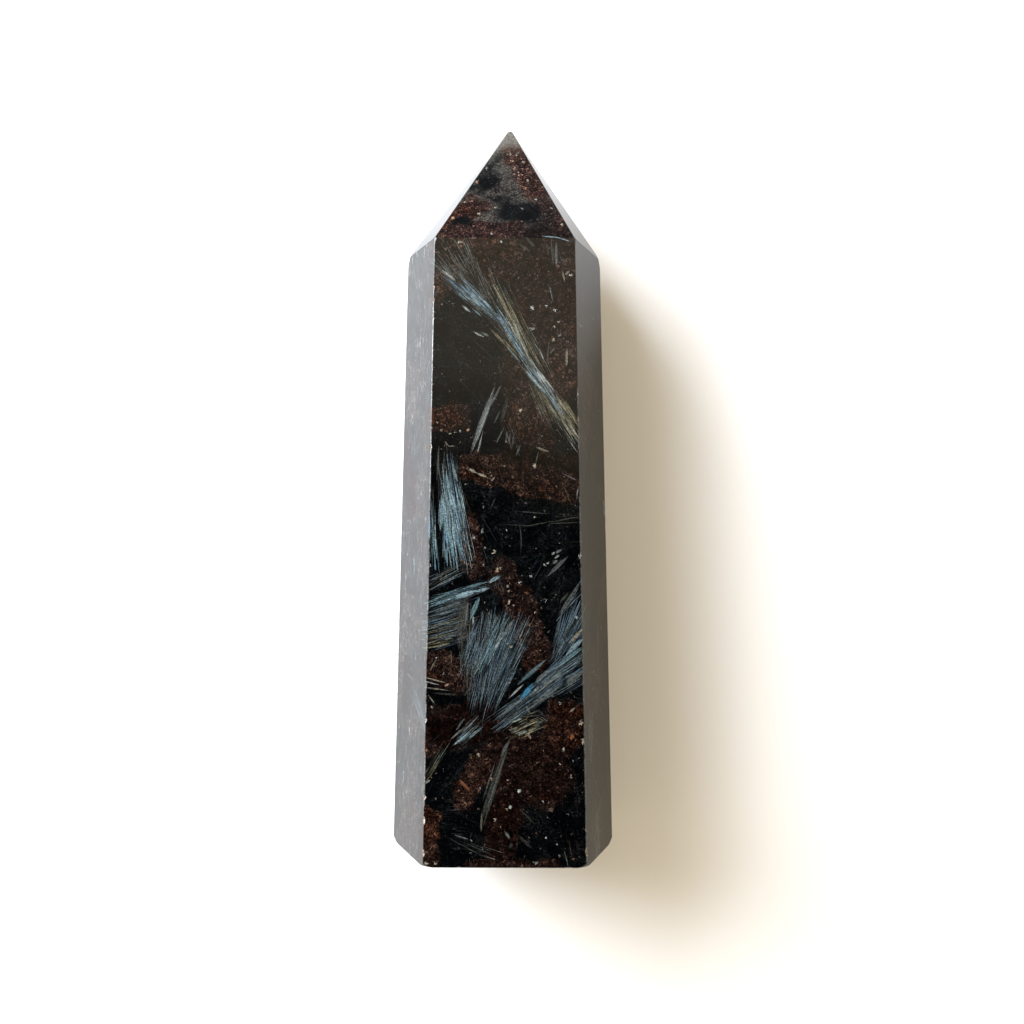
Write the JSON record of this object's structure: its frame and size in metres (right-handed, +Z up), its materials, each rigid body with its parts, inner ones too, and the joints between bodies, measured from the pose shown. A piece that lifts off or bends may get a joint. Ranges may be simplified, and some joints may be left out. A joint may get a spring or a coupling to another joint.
{
  "type": "astrophyllite point",
  "caption": "Polished dark stone point with bladed golden and blue-grey sprays: a six-sided tapering tower with a six-facet tip, lying on its back facet",
  "frame": {"origin": "on the surface the stone lies on, under the centre of its bounding box", "axes": "+Y along the stone from its base to its tip, +Z up out of the front facet, +X to the right when it is seen from above with its tip away from the viewer"},
  "size_m": [0.0306, 0.1, 0.0242],
  "materials": {
    "polished_astrophyllite": "mirror polish on dark stone, with brown grains and sprays of blue-grey and gold blades"
  },
  "bodies": {
    "root": {"astrophyllite_point": "polished_astrophyllite"}
  },
  "joints": []
}
